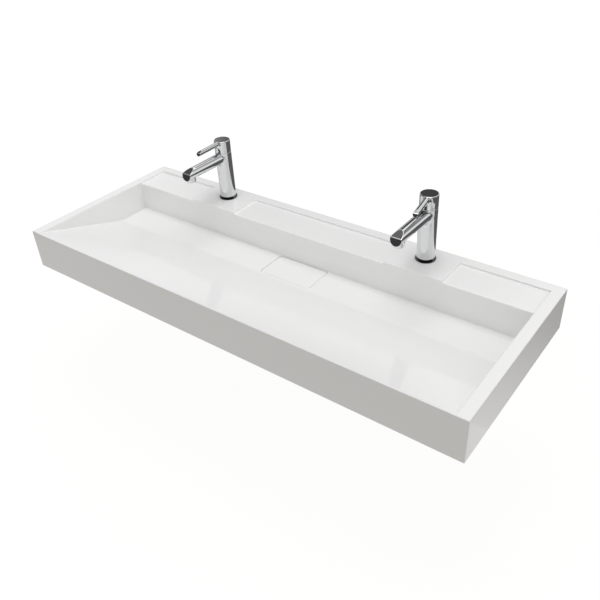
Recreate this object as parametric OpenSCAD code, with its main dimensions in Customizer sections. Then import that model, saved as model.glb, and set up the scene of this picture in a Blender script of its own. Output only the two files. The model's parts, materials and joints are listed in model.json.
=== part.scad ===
// Wall-hung washbasin for two taps, cast in one piece of gel-coated mineral resin,
// with a lift-off drain cover, a screwed basin waste and two single-lever mixers.
// Millimetres. X to the right, -Y to the front, +Z up. The origin is the centre of the
// back face, on the line of the wall bolts.

/* [Basin] */
// Overall width
basin_w = 1200; // [1000:10:1400]
// Depth from the wall to the front edge
basin_d = 460; // [440:5:520]
// Overall height
basin_h = 102; // [96:1:120]
// Width of the rim at each side
side_rim = 26; // [20:1:34]
// Thickness of the hanging front wall
front_wall = 14; // [10:1:20]
// Width of the raised rim along the wall
back_rim = 25; // [22:1:28]
// Thickness of the wall that takes the bolts
back_wall = 23; // [18:0.5:23]
// Depth of the shelf behind the bowl, from the wall
deck_d = 112; // [108:1:118]
// Thickness of the shelf at the taps
deck_t = 18; // [14:1:24]
// Thickness of the wall between bowl and shelf
inner_wall = 14; // [10:1:18]
// Depth of the shallow trays in the shelf
tray_depth = 5; // [3:0.5:7]
// Radius of the edges of the casting
edge_r = 2.5; // [1.5:0.5:4]
// Radius of the upright corners of the casting
corner_r = 4; // [3:0.5:6]

/* [Bowl] */
// Flat strip of the front rim before the slope starts
front_lip = 3; // [2:0.5:6]
// Distance from the front edge to where the slope meets the flat floor
slope_run = 257; // [240:1:270]
// Thickness of the flat floor
floor_t = 20.5; // [19:0.5:24]
// Thickness of the sloping floor
slope_t = 14; // [12:0.5:18]
// Radius of the bend between slope and flat floor
bend_r = 60; // [30:5:100]
// Radius at the foot of the back wall of the bowl
foot_r = 5; // [3:0.5:6]
// Distance from the front edge to the end of the hollow under the slope
hollow_run = 230; // [215:1:235]

/* [Wall fixing] */
// Height of the bolt line above the underside
bolt_height = 60; // [50:1:70]
// Distance between the two holes of a pair
bolt_spacing = 280; // [240:10:300]
// Diameter of the bolt holes
bolt_hole_d = 12; // [10:0.5:14]

/* [Drain cover] */
// Width of the cover plate
cover_w = 145; // [135:1:160]
// Depth of the cover plate
cover_d = 84; // [80:1:86]
// Thickness of the cover plate
cover_t = 8; // [7:0.5:9]
// Corner radius of the cover plate
cover_r = 6; // [4:0.5:9]
// Gap around the cover plate
cover_gap = 1; // [0.8:0.1:1.5]
// Height of the pads under the cover
pad_h = 4; // [3.8:0.1:5]
// Diameter of a pad
pad_d = 12; // [8:1:16]

/* [Waste] */
// Outer diameter of the threaded tail
tail_d = 41.9; // [40:0.1:44]
// Length of the tail below its collar
tail_len = 36; // [30:1:60]
// Diameter of the flange
flange_d = 68; // [64:1:72]
// Thickness of the flange
flange_t = 2.2; // [1.8:0.1:2.6]
// Thickness of the seal under the flange
top_seal_t = 1; // [0.6:0.1:1.1]
// Thickness of the seal under the basin
low_seal_t = 3; // [2:0.5:5]
// Number of flow holes in the grid
grid_holes = 8; // [6:1:10]
// Diameter of a flow hole
grid_hole_d = 8; // [6:0.5:8.5]
// Diameter of the clamping screw
waste_screw_d = 6; // [5:0.5:7]

/* [Tap] */
// Distance of each tap from the centre line
tap_x = 297; // [280:1:320]
// Distance of the tap axis from the wall
tap_back = 49; // [47:1:52]
// Width of the raised platform under a tap
platform_w = 146; // [110:2:180]
// Diameter of the hole in the shelf
tap_hole_d = 35; // [34:0.5:36]
// Diameter of the body at its foot
body_d = 42; // [41.6:0.1:44]
// Diameter of the body under the handle
body_top_d = 41.2; // [40.8:0.1:41.6]
// Height of the body above the shelf
body_h = 129; // [126:1:140]
// Diameter of the base ring
ring_d = 48; // [47:0.5:52]
// Height of the base ring
ring_h = 6; // [5:0.5:8]
// Thickness of the seal under the tap
tap_seal_t = 1.5; // [1:0.25:2]

/* [Spout] */
// Distance from the tap axis to the tip of the spout
spout_reach = 141; // [130:1:160]
// Distance of the spout axis below the top of the body
spout_down = 15; // [14.5:0.5:18]
// Diameter of the spout where it leaves the body
spout_root_d = 29; // [28.4:0.1:30]
// Diameter of the spout near its tip
spout_tip_d = 27.6; // [27:0.1:28]
// Length of the slanting face on top of the tip
slant_l = 26; // [20:1:30]
// Drop of the slanting face
slant_h = 9; // [6:0.5:10]
// How far the end of the spout leans back at its top
slant_lean = 3.5; // [2:0.5:5]
// Distance from the tip to the axis of the aerator
aerator_back = 17; // [16:0.5:20]
// Diameter of the aerator
aerator_d = 22; // [20:0.5:22.5]
// How far the aerator stands below the spout
aerator_drop = 7; // [5:0.5:9]
// Diameter of the water way in the spout
water_way_d = 13; // [10:0.5:14]

/* [Handle] */
// Height of the handle above the top of the body
handle_h = 32; // [31:0.5:36]
// Diameter of the cap
cap_d = 41.2; // [41:0.1:42]
// Wall of the cap
cap_wall = 1.4; // [1.2:0.1:1.6]
// Gap between cap and body
cap_gap = 0.6; // [0.5:0.1:1]
// Diameter of the lever
lever_d = 12; // [10:0.5:13]
// Distance from the tap axis to the end of the lever
lever_reach = 92; // [80:1:110]
// Greatest lift of the lever
lift_max = 25; // [15:1:25]
// Angle of the left handle at rest, to the right of straight ahead
left_turn = 2; // [-20:1:20]
// Angle of the right handle at rest, to the right of straight ahead
right_turn = 10; // [-20:1:20]

/* [Cartridge] */
// Diameter of the ceramic cartridge
cartridge_d = 35; // [34:0.1:35.2]
// Height of the cartridge up to its shoulder
cartridge_h = 30; // [26:1:34]
// Height of the lift axis above the top of the body
pivot_up = 6; // [5.5:0.1:6.5]
// Diameter of the lift pin
pin_d = 4; // [3:0.1:4.5]
// Side of the square spindle
spindle_side = 8; // [7:0.1:8]
// Radial clearance of the lift pin in the spindle
pin_clearance = 0.05; // [0.02:0.01:0.08]

/* [Tap fixing] */
// Diameter of the fixing stud
stud_d = 8; // [6:0.5:8]
// Length of stud below the shelf
stud_drop = 40; // [34:1:44]
// Distance of the stud behind the tap axis
stud_back = 12; // [11:0.5:12.5]
// Diameter of the horseshoe washers
washer_d = 48; // [44:1:50]
// Thickness of the rubber washer
rubber_t = 3; // [2:0.5:4]
// Thickness of the steel washer
plate_t = 2.5; // [2:0.5:4]
// Width across the flats of the stud nut
nut_af = 13; // [12:0.5:14]
// Height of the stud nut
nut_h = 8; // [6:0.5:10]
// Bore of a hose thread in the foot of the body
inlet_d = 9; // [8:0.1:9.4]
// Distance between the two hose threads
inlet_spacing = 13; // [12.5:0.5:14]
// Distance of the hose threads in front of the tap axis
inlet_front = 5; // [4:0.5:6]

/* [Hidden] */

white = [0.94, 0.94, 0.93];
chrome = [0.80, 0.81, 0.83];
steel = [0.62, 0.63, 0.65];
brass = [0.80, 0.66, 0.36];
rubber = [0.10, 0.10, 0.10];
plastic = [0.88, 0.88, 0.86];

$fn = 64;
cut = 1;
seat = 0.05;
free = 0.4;

bottom_z = -bolt_height;
rim_z = basin_h - bolt_height;
front_y = -basin_d;
bowl_back_y = -deck_d;
half_w = basin_w / 2;
bowl_half_w = half_w - side_rim;
floor_z = bottom_z + floor_t;
bend_y = front_y + slope_run;
slope_angle = atan2(rim_z - floor_z, slope_run - front_lip);
tap_y = -tap_back;

cover_y = bowl_back_y - cover_gap - cover_d / 2;
cover_bottom_z = floor_z - cover_t;
sump_z = cover_bottom_z - pad_h;
sump_d = cover_d + 2 * cover_gap;
waste_hole_d = tail_d + 4;

spout_h = body_h - spout_down;
handle_top = body_h + handle_h;
pivot_h = body_h + pivot_up;
bell_r = cap_d / 2 - cap_wall - 0.3;
bell_t = 1.5;
bell_hole_r = 15;
cap_roof_h = pivot_h + bell_r + 1;
boss_h = pivot_h + 12;
grub_h = pivot_h + 15;
grub_d = 5;
body_foot = tap_seal_t;
nut_seat_h = body_h - 11;
cartridge_foot = nut_seat_h - cartridge_h;
carrier_h = nut_seat_h + 3;
carrier_t = 5;
ear_inner = spindle_side / 2 + free;
ear_t = 3.6;
nut_bore_d = 26;
boss_d = 14;
stud_socket = 14;
inlet_l = 12;
aerator_y = -(spout_reach - aerator_back);
aerator_foot = spout_h - spout_tip_d / 2 - aerator_drop;
aerator_seat = aerator_foot + 12;
boss_foot = aerator_foot + 3.5;

// Points of an arc, from one angle to another
function arc(c, r, a0, a1, n) =
  [for (i = [0:n]) [c[0] + r * cos(a0 + (a1 - a0) * i / n), c[1] + r * sin(a0 + (a1 - a0) * i / n)]];

// Outline of a rectangle from low to high, with one radius for its two low corners
// and another for its two high ones
function soft_rect(low, high, r_low, r_high, n) = concat(
  arc([low[0] + r_low, low[1] + r_low], r_low, 180, 270, n),
  arc([high[0] - r_low, low[1] + r_low], r_low, 270, 360, n),
  arc([high[0] - r_high, high[1] - r_high], r_high, 0, 90, n),
  arc([low[0] + r_high, high[1] - r_high], r_high, 90, 180, n)
);

// Height of the slope at a distance y
function slope_z(y) = rim_z - (y - front_y - front_lip) * tan(slope_angle);

// Lays a drawing in Y and Z across the width, from x0 to x1
module across(x0, x1) {
  translate([x0, 0, 0]) rotate([90, 0, 90]) linear_extrude(x1 - x0) children();
}

// Lays a drawing in X and Z along the depth, from y0 to y1
module along(y0, y1) {
  translate([0, y1, 0]) rotate([90, 0, 0]) linear_extrude(y1 - y0) children();
}

// Block with rounded upright corners, top edges and bottom edges
module soft_block(low, high, r_plan, r_low, r_high) {
  intersection() {
    translate([0, 0, low[2]]) linear_extrude(high[2] - low[2])
      polygon(soft_rect([low[0], low[1]], [high[0], high[1]], r_plan, r_plan, 5));
    across(low[0] - cut, high[0] + cut)
      polygon(soft_rect([low[1], low[2]], [high[1], high[2]], r_low, r_high, 4));
    along(low[1] - cut, high[1] + cut)
      polygon(soft_rect([low[0], low[2]], [high[0], high[2]], r_low, r_high, 4));
  }
}

// Section of the bowl: the slope, the bend, the flat floor and the foot of the back wall
function bowl_section() = let (
  bend_back = bend_r * tan(slope_angle / 2),
  bend_c = [bend_y + bend_back, floor_z + bend_r],
  foot_c = [bowl_back_y - foot_r, floor_z + foot_r]
) concat(
  [[front_y + front_lip, rim_z]],
  arc(bend_c, bend_r, 270 - slope_angle, 270, 5),
  arc(foot_c, foot_r, 270, 360, 4),
  [[bowl_back_y, rim_z + cut], [front_y + front_lip, rim_z + cut]]
);

// Casting of the basin
module basin() {
  hollow_front_y = front_y + front_wall;
  hollow_back_y = front_y + hollow_run;
  under = slope_t / cos(slope_angle);
  color(white) difference() {
    soft_block([-half_w, front_y, bottom_z], [half_w, 0, rim_z], corner_r, edge_r, edge_r);
    across(-bowl_half_w, bowl_half_w) polygon(bowl_section());
    for (side = [-1, 1]) {
      x_in = tap_x + platform_w / 2;
      tray(min(side * x_in, side * bowl_half_w), max(side * x_in, side * bowl_half_w));
      translate([side * tap_x, tap_y, rim_z - deck_t - cut])
        cylinder(d = tap_hole_d, h = deck_t + 2 * cut);
      for (end = [-1, 1])
        translate([side * tap_x + end * bolt_spacing / 2, cut, 0])
          rotate([90, 0, 0]) cylinder(d = bolt_hole_d, h = back_wall + 2 * cut);
    }
    tray(-tap_x + platform_w / 2, tap_x - platform_w / 2);
    across(-bowl_half_w, bowl_half_w) polygon([
      [hollow_front_y, bottom_z - cut],
      [hollow_front_y, slope_z(hollow_front_y) - under],
      [hollow_back_y, slope_z(hollow_back_y) - under],
      [hollow_back_y, bottom_z - cut]
    ]);
    translate([-bowl_half_w, bowl_back_y + inner_wall, bottom_z - cut])
      cube([2 * bowl_half_w, deck_d - inner_wall - back_wall, basin_h - deck_t + cut]);
    translate([0, cover_y, sump_z]) linear_extrude(floor_t)
      polygon(soft_rect([-cover_w / 2 - cover_gap, -sump_d / 2],
        [cover_w / 2 + cover_gap, sump_d / 2], cover_r + cover_gap, cover_r + cover_gap, 4));
    translate([0, cover_y, bottom_z - cut]) cylinder(d = waste_hole_d, h = floor_t + cut);
  }
}

// One shallow tray of the shelf, open to the bowl
module tray(x0, x1) {
  translate([x0, bowl_back_y - cut, rim_z - tray_depth])
    cube([x1 - x0, deck_d - back_rim + cut, tray_depth + cut]);
}

// Plate that hides the outlet
module drain_cover() {
  color(white) translate([0, cover_y, 0])
    soft_block([-cover_w / 2, -cover_d / 2, cover_bottom_z], [cover_w / 2, cover_d / 2, floor_z],
      cover_r, 0.8, 0.8);
}

// Four pads that carry the plate above the sump
module cover_pads() {
  inset = pad_d / 2 + 8;
  color(rubber) for (sx = [-1, 1], sy = [-1, 1])
    translate([sx * (cover_w / 2 - inset), cover_y + sy * (cover_d / 2 - inset), sump_z])
      cylinder(d = pad_d, h = pad_h);
}

waste_sleeve_d = tail_d;
waste_sleeve_in = tail_d - 5;
grid_t = 2.5;
grid_z = sump_z - 1;
sleeve_foot_z = sump_z - 20;
low_top_z = bottom_z - low_seal_t;
collar_t = 4;
hub_z = bottom_z - 24;
hub_h = 5;

// Flange with its grid and sleeve
module waste_flange() {
  top_z = sump_z + top_seal_t + flange_t;
  color(steel) translate([0, cover_y, 0]) difference() {
    union() {
      translate([0, 0, top_z]) mirror([0, 0, 1]) rotate_extrude() polygon(concat(
        [[waste_sleeve_in / 2, 0], [flange_d / 2 - 1.2, 0]],
        [[flange_d / 2, 1.2], [flange_d / 2, flange_t], [waste_sleeve_d / 2, flange_t]],
        [[waste_sleeve_d / 2, top_z - sleeve_foot_z], [waste_sleeve_in / 2, top_z - sleeve_foot_z]]
      ));
      translate([0, 0, grid_z - grid_t]) cylinder(d = waste_sleeve_in + 1, h = grid_t);
    }
    translate([0, 0, grid_z - grid_t - cut]) cylinder(d = waste_screw_d + 0.2, h = grid_t + 2 * cut);
    for (i = [0:grid_holes - 1]) rotate([0, 0, 360 * i / grid_holes])
      translate([waste_sleeve_in / 2 - grid_hole_d / 2 - 1.6, 0, grid_z - grid_t - cut])
        cylinder(d = grid_hole_d, h = grid_t + 2 * cut, $fn = 32);
  }
}

// Flat seal between the flange and the sump
module waste_top_seal() {
  color(rubber) translate([0, cover_y, sump_z]) difference() {
    cylinder(d = flange_d - 2, h = top_seal_t);
    translate([0, 0, -cut]) cylinder(d = waste_hole_d, h = top_seal_t + 2 * cut);
  }
}

// Screw that pulls flange and tail together
module waste_screw() {
  color(steel) translate([0, cover_y, 0]) difference() {
    union() {
      translate([0, 0, grid_z]) cylinder(d = 11, h = 2.4);
      translate([0, 0, hub_z - 3]) cylinder(d = waste_screw_d, h = grid_z - hub_z + 3.5);
    }
    translate([-6, -0.7, grid_z + 1.2]) cube([12, 1.4, 2]);
  }
}

// Seal between the tail and the underside of the basin
module waste_low_seal() {
  color(rubber) translate([0, cover_y, low_top_z]) difference() {
    cylinder(d1 = flange_d - 10, d2 = flange_d - 6, h = low_seal_t);
    translate([0, 0, -cut]) cylinder(d = waste_hole_d, h = low_seal_t + 2 * cut);
  }
}

// Lower body of the waste with its threaded tail
module waste_tail() {
  neck_z = low_top_z - collar_t - 16;
  foot_z = neck_z - tail_len;
  bore_d = tail_d - 6;
  color(chrome) translate([0, cover_y, 0]) difference() {
    union() {
      translate([0, 0, low_top_z - collar_t]) cylinder(d = flange_d - 4, h = collar_t);
      translate([0, 0, neck_z]) cylinder(d = tail_d + 9, h = 16 + 1);
      translate([0, 0, foot_z]) cylinder(d = tail_d, h = tail_len + 1);
    }
    difference() {
      translate([0, 0, foot_z - cut]) cylinder(d = bore_d, h = low_top_z - foot_z + 2 * cut);
      translate([-bore_d / 2 - 1, -3, hub_z - hub_h]) cube([bore_d + 2, 6, hub_h]);
      translate([0, 0, hub_z - hub_h]) cylinder(d = 12, h = hub_h);
    }
    translate([0, 0, sleeve_foot_z - 0.5]) cylinder(d = waste_sleeve_d + 0.3, h = low_top_z - sleeve_foot_z + cut);
    translate([0, 0, hub_z - hub_h - cut]) cylinder(d = waste_screw_d + 0.1, h = hub_h + 2 * cut);
  }
}

// Places a drawing of one tap: side is -1 on the left and 1 on the right
module at_tap(side) {
  translate([side * tap_x, tap_y, rim_z]) children();
}

// Places a piece that turns with the handle
module at_handle(side) {
  at_tap(side) rotate([0, 0, side < 0 ? left_turn : right_turn]) children();
}

// What is cut off a round bar at its tip: a slanting face on top, and an end that leans
// back, both in proportion to those of the spout
module slant_cut(reach, r) {
  share = 2 * r / spout_tip_d;
  edge = [-reach + slant_lean * share, r - slant_h * share];
  rise = (slant_l - slant_lean) / slant_h;
  lean = (edge[0] + reach) / (edge[1] + r);
  across(-r - cut, r + cut) polygon([
    edge, [-reach + slant_l * share + rise * cut, r + cut], [-reach - cut, r + cut],
    [-reach - cut, -r - cut], [-reach - lean * cut, -r - cut]
  ]);
}

// Seal between the foot of the tap and the shelf
module base_seal(side) {
  color(rubber) at_tap(side) difference() {
    cylinder(d = ring_d - 0.8, h = tap_seal_t);
    translate([0, 0, -cut]) cylinder(d = tap_hole_d + 1, h = tap_seal_t + 2 * cut);
  }
}

// Ring around the foot of the tap
module base_ring(side) {
  bore_r = body_d / 2 + seat;
  round_r = ring_d / 2 - bore_r - 0.4;
  color(chrome) at_tap(side) translate([0, 0, tap_seal_t]) rotate_extrude() polygon(concat(
    [[bore_r, 0], [ring_d / 2 - 0.4, 0], [ring_d / 2, 0.4]],
    arc([ring_d / 2 - round_r, ring_h - round_r], round_r, 0, 90, 5),
    [[bore_r, ring_h]]
  ));
}

// Body of the tap, cast in one with its spout
module tap_body(side) {
  root_r = spout_root_d / 2;
  tip_r = spout_tip_d / 2;
  foot_r = body_d / 2;
  top_r = body_top_d / 2;
  color(chrome) at_tap(side) difference() {
    union() {
      translate([0, 0, body_foot]) rotate_extrude() polygon([
        [0, 0], [foot_r, 0], [foot_r, ring_h + 4], [top_r, spout_h - root_r],
        [top_r, body_h - body_foot - 0.4], [top_r - 0.4, body_h - body_foot], [0, body_h - body_foot]
      ]);
      translate([0, 0, spout_h]) rotate([90, 0, 0]) rotate_extrude() polygon([
        [0, 2], [root_r, 2], [tip_r, spout_reach - slant_l - 2], [tip_r, spout_reach], [0, spout_reach]
      ]);
      hull() {
        translate([0, -top_r - 12, spout_h]) rotate([90, 0, 0]) cylinder(r = root_r + 0.12, h = 0.2, $fn = 32);
        translate([0, -top_r * 0.55, spout_h - root_r - 9])
          cylinder(r = root_r - 1, h = 2 * root_r + 8.6, $fn = 32);
      }
      translate([0, aerator_y, boss_foot]) cylinder(d = aerator_d + 2.4, h = spout_h - boss_foot);
    }
    translate([0, 0, spout_h]) slant_cut(spout_reach, tip_r);
    translate([0, 0, cartridge_foot]) cylinder(d = cartridge_d + 2 * seat, h = body_h - cartridge_foot + cut);
    translate([0, -cartridge_d / 2 + 3, spout_h - 5]) rotate([90, 0, 0])
      cylinder(d = water_way_d, h = spout_reach - aerator_back - cartridge_d / 2 + 3, $fn = 32);
    translate([0, aerator_y, aerator_foot - cut])
      cylinder(d = aerator_d + 2 * seat, h = aerator_seat - aerator_foot + cut);
    translate([0, stud_back, body_foot - cut]) cylinder(d = stud_d + 2 * seat, h = stud_socket + cut, $fn = 32);
    for (end = [-1, 1]) translate([end * inlet_spacing / 2, -inlet_front, 0]) {
      translate([0, 0, body_foot - cut]) cylinder(d = inlet_d, h = inlet_l + cut, $fn = 48);
      translate([0, 0, body_foot]) cylinder(d = inlet_d - 2, h = cartridge_foot - body_foot + 1, $fn = 32);
    }
  }
}

// Threaded shell of the aerator, with flats for a key
module aerator_shell(side) {
  color(chrome) at_tap(side) translate([0, aerator_y, aerator_foot]) difference() {
    cylinder(d = aerator_d, h = aerator_seat - aerator_foot - 0.1);
    translate([0, 0, -cut]) cylinder(d = aerator_d - 4, h = 20);
    for (end = [0, 1]) mirror([end, 0, 0]) translate([aerator_d / 2 - 0.5, -4, -cut])
      cube([2, 8, 3 + cut]);
  }
}

// Insert of the aerator with its ring of jets
module aerator_insert(side) {
  body = aerator_d - 4.1;
  jet_r = body / 2 - 2.4;
  color(plastic) at_tap(side) translate([0, aerator_y, aerator_foot + 0.8]) difference() {
    cylinder(d = body, h = 9);
    for (ring = [0:2], i = [0:max(0, ring * 6 - 1)]) rotate([0, 0, 60 * i / max(1, ring)])
      translate([jet_r * ring / 2, 0, -cut]) cylinder(d = 2, h = 9 + 2 * cut, $fn = 16);
  }
}

// Ceramic cartridge
module cartridge(side) {
  color(plastic) at_tap(side) translate([0, 0, cartridge_foot]) difference() {
    union() {
      cylinder(d = cartridge_d, h = cartridge_h);
      translate([0, 0, cartridge_h - cut]) cylinder(d = nut_bore_d - 0.4, h = 3 + cut);
    }
    for (end = [-1, 1]) translate([end * inlet_spacing / 2, -inlet_front, -cut])
      cylinder(d = inlet_d - 2, h = 8 + cut, $fn = 32);
    translate([0, inlet_front + 4, -cut]) cylinder(d = 8, h = 8 + cut, $fn = 32);
    translate([0, -cartridge_d / 2 - cut, spout_h - 5 - cartridge_foot]) rotate([-90, 0, 0])
      cylinder(d = water_way_d - 2, h = 8, $fn = 32);
  }
}

// Nut that holds the cartridge down
module cartridge_nut(side) {
  color(brass) at_tap(side) translate([0, 0, nut_seat_h]) difference() {
    cylinder(d = cartridge_d, h = 10);
    translate([0, 0, -cut]) cylinder(d = nut_bore_d, h = 10 + 2 * cut);
    for (i = [0:5]) rotate([0, 0, 60 * i]) translate([nut_bore_d / 2 - 1, -1.5, 7]) cube([2.6, 3, 4]);
  }
}

// Round cover over the nut, on which the cap of the handle seems to roll
module bell(side) {
  skirt_h = 1;
  color(chrome) at_tap(side) difference() {
    union() {
      intersection() {
        translate([0, 0, pivot_h]) sphere(r = bell_r, $fn = 96);
        translate([0, 0, body_h]) cylinder(r = bell_r + 1, h = bell_r);
      }
      translate([0, 0, body_h - skirt_h]) cylinder(d = cartridge_d - 0.1, h = skirt_h + 0.5);
    }
    intersection() {
      translate([0, 0, pivot_h]) sphere(r = bell_r - bell_t, $fn = 96);
      translate([0, 0, body_h + 0.4]) cylinder(r = bell_r, h = bell_r);
    }
    translate([0, 0, body_h - skirt_h - cut]) cylinder(r = bell_hole_r, h = skirt_h + pivot_up + bell_r + cut);
  }
}

// Turning carrier of the cartridge, with two ears for the lift pin
module carrier(side) {
  ear_w = 8;
  color(plastic) at_handle(side) difference() {
    union() {
      translate([0, 0, carrier_h]) cylinder(d = nut_bore_d - 2 * free, h = carrier_t);
      for (end = [-1, 1]) translate([end * (ear_inner + ear_t / 2), 0, 0]) {
        translate([-ear_t / 2, -ear_w / 2, carrier_h + carrier_t - cut])
          cube([ear_t, ear_w, pivot_h - carrier_h - carrier_t + cut]);
        translate([0, 0, pivot_h]) rotate([0, 90, 0]) cylinder(d = ear_w, h = ear_t, center = true);
      }
    }
    translate([0, 0, pivot_h]) rotate([0, 90, 0])
      cylinder(d = pin_d + 2 * seat, h = 2 * (ear_inner + ear_t + cut), center = true);
    translate([-3.2, -9, carrier_h - cut]) cube([6.4, 13, carrier_t + 2 * cut]);
  }
}

// Pin on which the spindle lifts
module lift_pin(side) {
  pin_l = 2 * (ear_inner + ear_t);
  color(steel) at_handle(side) translate([0, 0, pivot_h]) rotate([0, 90, 0])
    cylinder(d = pin_d, h = pin_l, center = true);
}

// Square spindle with its knuckle and the finger that moves the ceramic discs
module spindle(side) {
  half = spindle_side / 2;
  knuckle_r = half + 0.8;
  color(steel) at_handle(side) difference() {
    union() {
      translate([-half, -half, pivot_h]) cube([spindle_side, spindle_side, cap_roof_h + 3.5 - pivot_h]);
      translate([0, 0, pivot_h]) rotate([0, 90, 0]) cylinder(r = knuckle_r, h = spindle_side, center = true);
      translate([0, 0, pivot_h - 12]) cylinder(d = 5, h = 10, $fn = 32);
    }
    translate([0, 0, pivot_h]) rotate([0, 90, 0])
      cylinder(d = pin_d + 2 * pin_clearance, h = spindle_side + 2 * cut, center = true);
  }
}

// Cap of the handle with its lever
module handle(side) {
  cap_r = cap_d / 2;
  inner_r = cap_r - cap_wall;
  top_round = 1.8;
  lever_r = lever_d / 2;
  lever_h = handle_top - lever_r - 0.15;
  root_r = 12;
  socket = spindle_side + 0.2;
  foot_h = body_h + cap_gap;
  color(chrome) at_handle(side) difference() {
    union() {
      difference() {
        translate([0, 0, foot_h]) rotate_extrude() polygon(concat(
          [[0, 0], [cap_r, 0]],
          arc([cap_r - top_round, handle_top - foot_h - top_round], top_round, 0, 90, 5),
          [[0, handle_top - foot_h]]
        ));
        translate([0, 0, foot_h - cut]) cylinder(r = inner_r, h = cap_roof_h - foot_h + cut);
      }
      translate([0, 0, boss_h]) cylinder(d = boss_d, h = cap_roof_h - boss_h + cut);
      translate([0, -inner_r - 0.5, lever_h]) rotate([90, 0, 0])
        cylinder(r = lever_r, h = lever_reach - inner_r - 0.5);
      difference() {
        translate([1 - lever_r, -cap_r - root_r + 1, lever_h - lever_r - root_r + 1])
          cube([lever_d - 2, root_r, root_r + 2]);
        translate([0, -cap_r - root_r + 1, lever_h - lever_r - root_r + 1]) rotate([0, 90, 0])
          cylinder(r = root_r, h = 20, center = true);
      }
    }
    translate([0, 0, lever_h]) slant_cut(lever_reach, lever_r);
    translate([-socket / 2, -socket / 2, boss_h - cut])
      cube([socket, socket, cap_roof_h + 3.6 - boss_h + cut]);
    translate([0, 0, grub_h]) rotate([-90, 0, 0]) cylinder(d = grub_d + 2 * seat, h = cap_r + cut, $fn = 32);
    translate([0, 0, pivot_h]) rotate([lift_max, 0, 0]) translate([0, cap_r, -pivot_up + 0.3 - cut * 15])
      cube([4 * cap_r, 2 * cap_r, cut * 30], center = true);
  }
}

// Screw that clamps the handle on the spindle
module grub_screw(side) {
  start = spindle_side / 2;
  color(steel) at_handle(side) translate([0, start, grub_h]) rotate([-90, 0, 0]) difference() {
    cylinder(d = grub_d, h = boss_d / 2 - start, $fn = 32);
    translate([0, 0, 1.2]) cylinder(d = 2.8, h = 4, $fn = 6);
  }
}

// Plug in the hole behind the grub screw
module handle_plug(side) {
  color(plastic) at_handle(side) intersection() {
    translate([0, 0, grub_h]) rotate([-90, 0, 0]) cylinder(d = grub_d, h = cap_d, $fn = 32);
    difference() {
      cylinder(r = cap_d / 2 - 0.1, h = handle_top);
      translate([0, 0, -cut]) cylinder(r = cap_d / 2 - cap_wall, h = handle_top + 2 * cut);
    }
  }
}

// Stud that holds the tap down
module stud(side) {
  foot = -deck_t - stud_drop;
  color(steel) at_tap(side) translate([0, stud_back, foot])
    cylinder(d = stud_d, h = body_foot + stud_socket - 0.5 - foot, $fn = 32);
}

// Outline of a washer that is open to the front, round the hoses and the stud
module horseshoe(thickness) {
  hose_r = inlet_spacing / 2 + 5;
  difference() {
    cylinder(d = washer_d, h = thickness);
    translate([0, -inlet_front - 0.5, -cut]) cylinder(r = hose_r, h = thickness + 2 * cut);
    translate([-hose_r, -washer_d, -cut]) cube([2 * hose_r, washer_d - inlet_front - 0.5, thickness + 2 * cut]);
    translate([0, stud_back, -cut]) cylinder(d = stud_d + 0.4, h = thickness + 2 * cut, $fn = 32);
  }
}

// Rubber washer under the shelf
module rubber_washer(side) {
  color(rubber) at_tap(side) translate([0, 0, -deck_t - rubber_t]) horseshoe(rubber_t);
}

// Steel washer under the rubber one
module clamp_plate(side) {
  color(steel) at_tap(side) translate([0, 0, -deck_t - rubber_t - plate_t]) horseshoe(plate_t);
}

// Nut on the stud
module stud_nut(side) {
  color(brass) at_tap(side) translate([0, stud_back, -deck_t - rubber_t - plate_t - nut_h]) difference() {
    cylinder(r = nut_af / 2 / cos(30), h = nut_h, $fn = 6);
    translate([0, 0, -cut]) cylinder(d = stud_d + 2 * seat, h = nut_h + 2 * cut, $fn = 32);
  }
}

basin();
drain_cover();
cover_pads();
waste_flange();
waste_top_seal();
waste_screw();
waste_low_seal();
waste_tail();
base_seal(-1);  // left_base_seal
base_ring(-1);  // left_base_ring
tap_body(-1);  // left_tap_body
aerator_shell(-1);  // left_aerator_shell
aerator_insert(-1);  // left_aerator_insert
cartridge(-1);  // left_cartridge
cartridge_nut(-1);  // left_cartridge_nut
bell(-1);  // left_bell
carrier(-1);  // left_carrier
lift_pin(-1);  // left_lift_pin
spindle(-1);  // left_spindle
handle(-1);  // left_handle
grub_screw(-1);  // left_grub_screw
handle_plug(-1);  // left_handle_plug
stud(-1);  // left_stud
rubber_washer(-1);  // left_rubber_washer
clamp_plate(-1);  // left_clamp_plate
stud_nut(-1);  // left_stud_nut
base_seal(1);  // right_base_seal
base_ring(1);  // right_base_ring
tap_body(1);  // right_tap_body
aerator_shell(1);  // right_aerator_shell
aerator_insert(1);  // right_aerator_insert
cartridge(1);  // right_cartridge
cartridge_nut(1);  // right_cartridge_nut
bell(1);  // right_bell
carrier(1);  // right_carrier
lift_pin(1);  // right_lift_pin
spindle(1);  // right_spindle
handle(1);  // right_handle
grub_screw(1);  // right_grub_screw
handle_plug(1);  // right_handle_plug
stud(1);  // right_stud
rubber_washer(1);  // right_rubber_washer
clamp_plate(1);  // right_clamp_plate
stud_nut(1);  // right_stud_nut
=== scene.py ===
"""A wall-hung washbasin of gel-coated mineral resin with two chrome mixers, in metres, X right, -Y front, Z up."""
import json
import math

import bpy
import numpy as np
from mathutils import Matrix, Vector

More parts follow.
